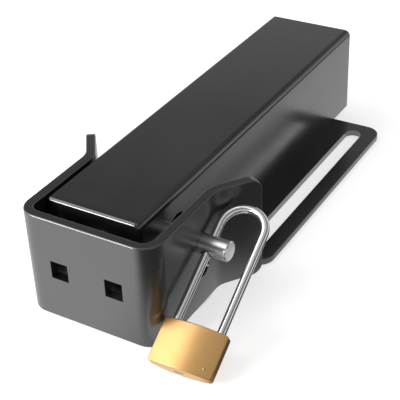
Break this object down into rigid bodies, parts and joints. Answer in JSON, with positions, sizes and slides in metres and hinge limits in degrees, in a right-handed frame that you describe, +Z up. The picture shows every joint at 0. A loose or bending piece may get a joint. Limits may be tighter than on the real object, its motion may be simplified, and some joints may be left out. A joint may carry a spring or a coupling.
{
  "type": "electric gate lock",
  "caption": "Black electric gate lock with a slotted base plate, a folded receiver strap, a stainless clevis pin and a brass long-shackle padlock.",
  "frame": {"origin": "underside of the base plate, on the lock tube's centre line, at the plate's mid length", "axes": "+X across the tube towards the padlock, +Y along the tube from the receiver to the cable end, +Z up from the base plate"},
  "size_m": [0.1522, 0.3004, 0.0635],
  "materials": {
    "black_coat": "satin black powder coat",
    "guide_plastic": "glossy black moulding",
    "plug_plastic": "matt black moulding",
    "grommet_rubber": "matt black rubber",
    "stainless": "turned stainless steel",
    "shackle_chrome": "bright plated steel",
    "case_brass": "fine satin brass",
    "plug_brass": "turned brass",
    "tool_steel": "machined steel",
    "zinc_sheet": "zinc-plated sheet",
    "spring_steel": "spring wire",
    "bobbin_plastic": "natural nylon",
    "coil_wrap": "copper winding under clear tape",
    "terminal_plastic": "ivory moulding",
    "lead_insulation": "soft insulation"
  },
  "bodies": {
    "lock": {"base_plate": "black_coat", "lock_tube": "black_coat", "receiver_strap": "black_coat", "throat_guide": "guide_plastic", "rear_plug": "plug_plastic", "cable_grommet": "grommet_rubber", "hook_pivot": "stainless", "hook_spacers": "stainless", "carrier": "zinc_sheet", "carrier_screws": "zinc_sheet", "solenoid_frame": "zinc_sheet", "solenoid_bobbin": "bobbin_plastic", "solenoid_coil": "coil_wrap", "terminal_block": "terminal_plastic", "terminal_screws": "plug_brass", "coil_leads": "lead_insulation"},
    "hook": {"hook_latch": "tool_steel", "hook_spring": "spring_steel"},
    "plunger": {"solenoid_plunger": "tool_steel", "link_pin": "stainless"},
    "pin_and_padlock": {"clevis_pin": "stainless", "padlock_shackle": "shackle_chrome", "padlock_case": "case_brass"},
    "key_plug": {"padlock_key_plug": "plug_brass"},
    "locking_dog": {"padlock_dog": "tool_steel"}
  },
  "joints": [
    {"name": "hook_swing", "type": "hinge", "parent": "lock", "child": "hook", "pos_m": [0, -0.05855, 0.018], "axis": [1, 0, 0], "range_deg": [0, 9], "stiffness_Nm_per_rad": 0.5, "springref_deg": -14.32, "deforming": ["hook_spring"]},
    {"name": "plunger_push", "type": "slide", "parent": "lock", "child": "plunger", "axis": [0, -1, 0], "range_m": [0, 0.00246]},
    {"name": "pin_turn", "type": "hinge", "parent": "lock", "child": "pin_and_padlock", "pos_m": [0, -0.12855, 0.0395], "axis": [1, 0, 0], "range_deg": [-100, 60]},
    {"name": "key_turn", "type": "hinge", "parent": "pin_and_padlock", "child": "key_plug", "pos_m": [0.06897, -0.18875, 0.00481], "axis": [-0.035, 0.8705, 0.4909], "range_deg": [0, 90]},
    {"name": "dog_slide", "type": "slide", "parent": "pin_and_padlock", "child": "locking_dog", "axis": [0.9981, 0.0555, -0.0274], "range_m": [0, 0.002]}
  ],
  "couplings": [
    {"joint": "plunger_push", "follows": "hook_swing", "m_per_rad": 0.015},
    {"joint": "dog_slide", "follows": "key_turn", "m_per_rad": 0.0012478}
  ]
}
